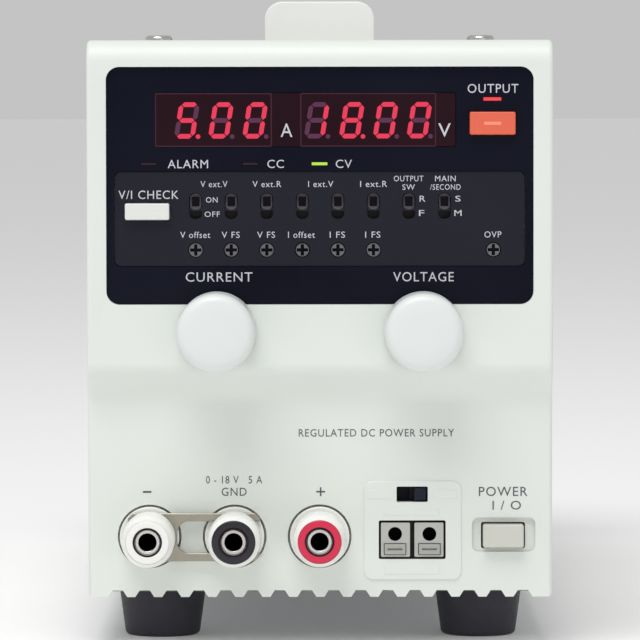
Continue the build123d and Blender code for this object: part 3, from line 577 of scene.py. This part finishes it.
def module_outlines():
    """Thin frames of the two digit modules, seen through the window, with a painted glow."""
    bm = bmesh.new()
    line = 0.28
    for left, right in ((-36.6, -10.8), (-4.2, 25.8)):
        middle, width, height = (left + right) / 2, right - left, 11.7
        for down in (11.95, 23.65):
            block(bm, middle, down, width, line, WINDOW - 0.02 * MM, WINDOW)
        for across in (left, right):
            block(bm, across, 17.8, line, height, WINDOW - 0.02 * MM, WINDOW)
    piece("module_outlines", bm, painted_glow_outline, "case", smooth=False)


module_outlines()


# ---- Lamps and keys ----
def light_bar(name, across, down, width, height, finish, y=None, body="case"):
    """A small bar let into the panel, its face just behind the panel's unless y is given."""
    bm = bmesh.new()
    face = PANEL + 0.1 * MM if y is None else y
    block(bm, across, down, width, height, face, face + 3.0 * MM)
    made = piece(name, bm, finish, body)
    return rounded(made, 0.12)


# The alarm and constant-current lamps are off and carry a painted glow.
lamps = [
    light_bar("alarm_lamp", -38.2, 27.6, 3.5, 0.6, unlit_lamp_painted_glow),
    light_bar("constant_current_lamp", -15.5, 27.6, 3.5, 0.6, unlit_lamp_painted_glow),
    light_bar("constant_voltage_lamp", -0.05, 27.6, 3.5, 0.6, green_glow),
    light_bar("output_lamp", 38.5, 13.2, 3.9, 0.75, red_glow),
]
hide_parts("indicator_lamps")

refined("output_key", orange_key, 0.1)
refined("check_key", bright_key, 0.1)
key_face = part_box("output_key")[0].y
key_bar = bmesh.new()
block(key_bar, 38.5, 18.6, 3.8, 0.7, key_face - 0.05 * MM, key_face + 0.5 * MM)
rounded(piece("key_light_bar", key_bar, key_glow, "output_push_key"), 0.05)

# ---- Small controls ----
def two_toned(made, finish, inside):
    """Give the faces that pass a test, by their middle and their normal, a second finish."""
    made.data.materials.append(finish.material)
    for face in made.data.polygons:
        if inside(face.center, face.normal):
            face.material_index = 1
    return made


for number in range(1, 9):
    slider = refined(f"mode_slider_{number}", carriage_grey, 0.08)
    two_toned(slider, slider_black, lambda at, normal: at.y < FRONT + 2.0 * MM)
for number in range(1, 8):
    trimmer = refined(f"trimmer_{number}", trimmer_metal, 0.05)
    # Painted shade: faces more than 1.56 mm behind the front are coloured near-black.
    two_toned(trimmer, painted_shade_black, lambda at, normal: at.y > FRONT + 1.56 * MM)
components = refined("panel_components", black_moulding)
two_toned(components, navy_black, lambda at, normal: at.z < TOP - 90 * MM)


# ---- Knobs ----
def knob(node, body):
    """A turned knob with a softly rounded front rim and a slightly crowned face."""
    low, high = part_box(node)
    centre = ((low.x + high.x) / 2, (low.z + high.z) / 2)
    radius, tip, skirt = (high.x - low.x) / 2, low.y, FRONT - 0.6 * MM
    rim = 2.4 * MM
    profile = [(3.0 * MM, FRONT + 12 * MM), (3.0 * MM, FRONT - 5 * MM), (7.8 * MM, FRONT - 5 * MM)]
    profile += [(7.8 * MM, skirt), (radius - 0.3 * MM, skirt), (radius, skirt - 0.3 * MM)]
    profile += arc(radius - rim, tip + rim + 0.25 * MM, rim, 0, 78, 8)
    profile += [(radius * 0.5, tip + 0.05 * MM), (0.0, tip)]
    bm = bmesh.new()
    turned(bm, centre, [(0.0, FRONT + 12 * MM)] + profile, 96)
    made = piece(f"{node}_finished", bm, white_knob, body)
    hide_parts(node)


knob("knob_current", "current_knob")
knob("knob_voltage", "voltage_knob")
refined("panel_nuts", nickel, 0.15)
refined("ten_turn_pots", zinc, 0.2)


# ---- Output posts ----
def post_cap(name, ring_finish):
    """A white cap that narrows towards its front, with a ring of ring_finish set into it."""
    low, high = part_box(f"cap_{name}")
    centre = ((low.x + high.x) / 2, (low.z + high.z) / 2)
    tip, back, radius = low.y, high.y, (high.x - low.x) / 2
    bore, tip_r, ring_r = 2.8 * MM, 4.95 * MM, 4.88 * MM
    shell = bmesh.new()
    outline = [(bore, back), (radius - 0.2 * MM, back), (radius, back - 0.2 * MM)]
    outline += [(radius, tip + 2.9 * MM), (radius - 0.12 * MM, tip + 2.3 * MM), (tip_r, tip + 0.3 * MM)]
    outline += [(ring_r, tip + 0.2 * MM), (ring_r, tip + 0.6 * MM), (bore, tip + 0.6 * MM), (bore, back)]
    turned(shell, centre, outline, 72)
    made = piece(f"cap_{name}_shell", shell, white_post, f"{name}_cap")
    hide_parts(f"cap_{name}")
    ring = bmesh.new()
    inner = 3.25 * MM
    floor, foot = tip + 0.5 * MM, tip + 0.58 * MM
    section = [(ring_r - 0.02 * MM, foot)]
    section += arc(ring_r - 0.4 * MM, tip + 0.4 * MM, 0.38 * MM, 0, 90, 4)
    section += [(inner + 0.15 * MM, tip + 0.02 * MM), (inner, tip + 0.2 * MM), (inner, floor)]
    section += [(bore + 0.02 * MM, floor), (bore + 0.02 * MM, foot), (ring_r - 0.02 * MM, foot)]
    turned(ring, centre, section, 72)
    made = piece(f"cap_{name}_ring", ring, ring_finish, f"{name}_cap")
    recess_r = inner + 0.05 * MM

    def in_recess(at, normal):
        """True on the wall and the floor of the recess round the stud."""
        return math.hypot(at.x - centre[0], at.z - centre[1]) < recess_r and at.y > tip + 0.25 * MM

    two_toned(made, ring_shade, in_recess)


post_cap("minus", white_post)
post_cap("ground", black_ring)
post_cap("plus", red_ring)
for name in ("minus", "ground", "plus"):
    refined(f"washer_{name}", nickel, 0.08)
refined("post_bases", white_post, 0.2)
studs = refined("post_studs", nickel, 0.1)
socket_wall = 2.3 * MM
caps = [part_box(f"cap_{name}") for name in ("minus", "ground", "plus")]


def in_socket(at, normal):
    """True on the wall and the foot of a socket, where shade is painted in near-black."""
    for low, high in caps:
        away = math.hypot(at.x - (low.x + high.x) / 2, at.z - (low.z + high.z) / 2)
        if away < socket_wall and at.y > low.y + 1.3 * MM:
            return True
    return False


# Painted shade: the socket walls and feet of the studs are coloured near-black.
two_toned(studs, painted_shade_black, in_socket)
refined("shorting_link", link_plate, 0.2)

printed(
    "post_labels",
    [
        ("-", -38.8, 101.1, 0.42, 1.9),
        ("+", 0.1, 101.1, 2.0, 2.0),
        ("GND", -19.3, 101.1, 1.85, 5.6),
        ("0 - 18 V   5 A", -19.3, 98.4, 1.7, 12.6),
        ("POWER", 41.0, 101.1, 2.1, 10.9),
        ("I / O", 41.8, 104.2, 2.0, 6.4),
        ("REGULATED DC POWER SUPPLY", 12.6, 87.9, 1.7, 34.8),
    ],
    LOWER - INK,
    grey_ink,
)

# ---- Sensing terminals and power button ----
SENSE_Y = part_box("sense_terminals")[0].y
terminals = refined("sense_terminals", terminal_black, 0.08)
two_toned(terminals, terminal_grey, lambda at, normal: normal.y < -0.5 and at.y < SENSE_Y + 0.1 * MM)
refined("sense_slider", navy_black, 0.15)
refined("sense_release_left", release_grey, 0.08)
refined("sense_release_right", release_grey, 0.08)


PAD_FACE = LOWER - 0.4 * MM


def pad_marks():
    """Shallow raised tablets on the sensing pad, beside and under the terminals."""
    bm = bmesh.new()
    beside_switch = [(13.35, 101.7, 5.6, 2.0), (27.95, 101.7, 5.6, 2.0)]
    tablets = beside_switch + [(20.6, 105.7, 12.3, 1.3), (20.6, 118.35, 12.3, 2.6)]
    for across, down, width, height in tablets:
        block(bm, across, down, width, height, PAD_FACE - 0.08 * MM, PAD_FACE + 0.3 * MM)
    made = rounded(piece("sensing_pad_tablets", bm, white_case, "case"), 0.07, 2)


pad_marks()
refined("power_button", off_white_key)
refined("power_switch", black_moulding, 0.2)

# ---- Case, rear and inside ----
refined("top_cover", powder)
refined("rear_panel", zinc)
refined("chassis_tray", zinc)
refined("truss_screws", nickel)
refined("rubber_feet", rubber)
refined("strap_ends", strap_end_white, 0.3)
refined("fan_frame", black_moulding, 0.3)
refined("fan_rotor", black_moulding, 0.2)
refined("ac_inlet", black_moulding, 0.3)
refined("rear_terminals", black_moulding, 0.2)
refined("rear_contacts", nickel, 0.1)
refined("heat_sink", anodised)
refined("digit_modules", black_moulding)
refined("circuit_boards", board_green())
refined("transformer_core", laminations(), 0.4)
refined("transformer_coil", coil_tape())
refined("power_components", black_moulding, 0.5)


# ---- Carrying strap: two straight halves, each from its end to the middle ----
def strap_half(name, y_end, y_middle):
    """Half of the strap, from one held end to the middle."""
    low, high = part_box("carrying_strap")
    bm = bmesh.new()
    middle = Vector((0, (y_end + y_middle) / 2, (low.z + high.z) / 2))
    size = Matrix.Diagonal((high.x - low.x, abs(y_end - y_middle), high.z - low.z, 1))
    bmesh.ops.create_cube(bm, size=1.0, matrix=Matrix.Translation(middle) @ size)
    lengthways = [e for e in bm.edges if abs((e.verts[0].co - e.verts[1].co).y) > 0.01]
    bmesh.ops.bevel(
        bm,
        geom=lengthways,
        offset=0.8 * MM,
        offset_type="OFFSET",
        segments=4,
        profile=0.5,
        material=-1,
        affect="EDGES",
    )
    lengthways = [e for e in bm.edges if abs((e.verts[0].co - e.verts[1].co).y) > 0.01]
    bmesh.ops.subdivide_edges(bm, edges=lengthways, cuts=40, use_grid_fill=True)
    mesh = bpy.data.meshes.new(name)
    bm.to_mesh(mesh)
    bm.free()
    mesh.materials.append(vinyl.material)
    mesh.shade_smooth()
    mesh.set_sharp_from_angle(angle=math.radians(50))
    made = bpy.data.objects.new(name, mesh)
    bpy.context.scene.collection.objects.link(made)
    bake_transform(made)
    return made


strap_low, strap_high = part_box("carrying_strap")
strap_middle = (strap_low.y + strap_high.y) / 2
front_half = strap_half("strap_front_half", strap_low.y, strap_middle)
strap_half("strap_rear_half", strap_high.y, strap_middle)
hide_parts("carrying_strap")


# ---- Floor and light ----
def studio():
    """A pale floor, an even surround and two soft lamps."""
    bm = bmesh.new()
    bmesh.ops.create_grid(bm, x_segments=1, y_segments=1, size=40.0)
    mesh = bpy.data.meshes.new("floor")
    bm.to_mesh(mesh)
    bm.free()
    floor = bpy.data.objects.new("floor", mesh)
    bpy.context.scene.collection.objects.link(floor)
    paper = Finish("pale_paper", (0.9, 0.9, 0.9, 1), 0.9)
    paper.patchy(paper.noise(40.0), 0.03)
    paper.lit((1, 1, 1, 1), 0.09)
    mesh.materials.append(paper.material)
    world = bpy.data.worlds.new("studio")
    world.use_nodes = True
    background = world.node_tree.nodes["Background"]
    background.inputs["Color"].default_value = (1, 1, 1, 1)
    background.inputs["Strength"].default_value = 0.55
    bpy.context.scene.world = world
    lights = [
        ("overhead_softbox", (-0.35, -1.0, 1.9), (0, -0.1, 0.08), 1.3, 26.0),
        ("front_fill", (0.9, -2.2, 0.5), (0, 0, 0.07), 1.0, 1.2),
    ]
    for name, spot, target, size, power in lights:
        lamp_data = bpy.data.lights.new(name, "AREA")
        lamp_data.size, lamp_data.energy = size, power
        light = bpy.data.objects.new(name, lamp_data)
        light.location = spot
        aim = Vector(target) - Vector(spot)
        light.rotation_mode = "QUATERNION"
        light.rotation_quaternion = aim.to_track_quat("-Z", "Y")
        bpy.context.scene.collection.objects.link(light)
    bpy.context.scene.view_settings.view_transform = "Standard"


studio()
